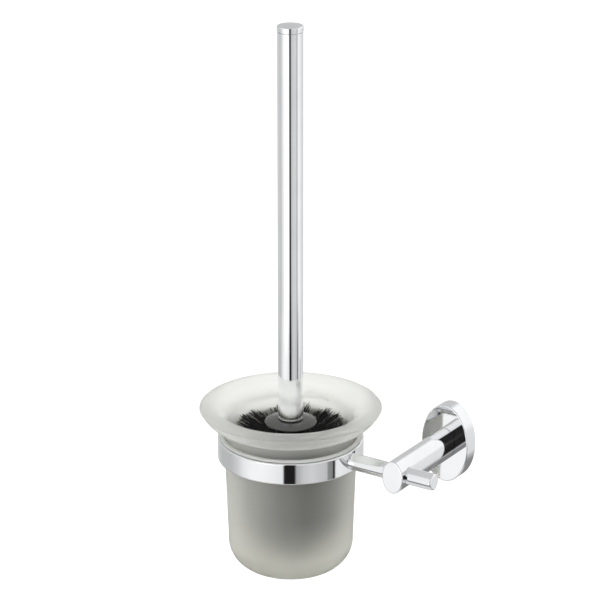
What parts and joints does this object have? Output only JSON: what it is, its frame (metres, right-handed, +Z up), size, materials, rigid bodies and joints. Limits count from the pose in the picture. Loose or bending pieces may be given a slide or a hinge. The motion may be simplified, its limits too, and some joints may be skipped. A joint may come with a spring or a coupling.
{
  "type": "toilet brush holder",
  "caption": "Wall mounted toilet brush holder: oval rosette and post, round crossbar, metal ring with a flared frosted glass cup, and a lift-out brush with a tube handle.",
  "frame": {"origin": "middle of the face that lies on the wall, behind the rosette", "axes": "+Y into the wall, +Z up, +X to the right for a person who faces the wall; the cup is on the -X side"},
  "size_m": [0.1854, 0.1404, 0.4038],
  "materials": {
    "chrome": "mirror polished chrome plate",
    "steel": "plain zinc plated steel",
    "liner": "milky translucent plastic",
    "frosted_glass": "satin frosted all over, pale grey-green",
    "black_plastic": "moulded, matt",
    "brass": "turned",
    "bristle": "black nylon bristles with a slight sheen",
    "grey_disc": "glossy dark grey"
  },
  "bodies": {
    "holder": {"wall_bracket": "steel", "rosette": "chrome", "rosette_grub_screw": "steel", "post": "chrome", "post_screw_upper": "steel", "post_screw_lower": "steel", "crossbar": "chrome", "crossbar_grub_screw": "steel", "ring": "chrome", "ring_screw": "steel", "ring_liner": "liner"},
    "cup": {"glass_cup": "frosted_glass"},
    "brush_head": {"brush_hub": "black_plastic", "hub_bush": "brass", "bristle_row_1": "bristle", "bristle_row_2": "bristle", "bristle_row_3": "bristle", "bristle_row_4": "bristle", "bristle_row_5": "bristle", "bristle_row_6": "bristle", "bristle_row_7": "bristle", "bristle_crown": "bristle"},
    "disc": {"splash_disc": "grey_disc"},
    "handle": {"handle_tube": "chrome", "handle_cap": "chrome", "handle_insert": "black_plastic", "handle_stud": "steel"}
  },
  "joints": [
    {"name": "cup_lift", "type": "slide", "parent": "holder", "child": "cup", "axis": [0, 0, 1], "range_m": [0, 0.105]},
    {"name": "brush_lift", "type": "slide", "parent": "cup", "child": "brush_head", "axis": [0, 0, 1], "range_m": [0, 0.13]},
    {"name": "handle_turn", "type": "hinge", "parent": "brush_head", "child": "disc", "pos_m": [-0.0914, -0.075, 0.017], "axis": [0, 0, 1], "range_deg": [0, 2520]},
    {"name": "handle_unscrew", "type": "slide", "parent": "disc", "child": "handle", "axis": [0, 0, 1], "range_m": [0, 0.0123]}
  ],
  "couplings": [
    {"joint": "handle_unscrew", "follows": "handle_turn", "m_per_rad": 0.00027852}
  ]
}
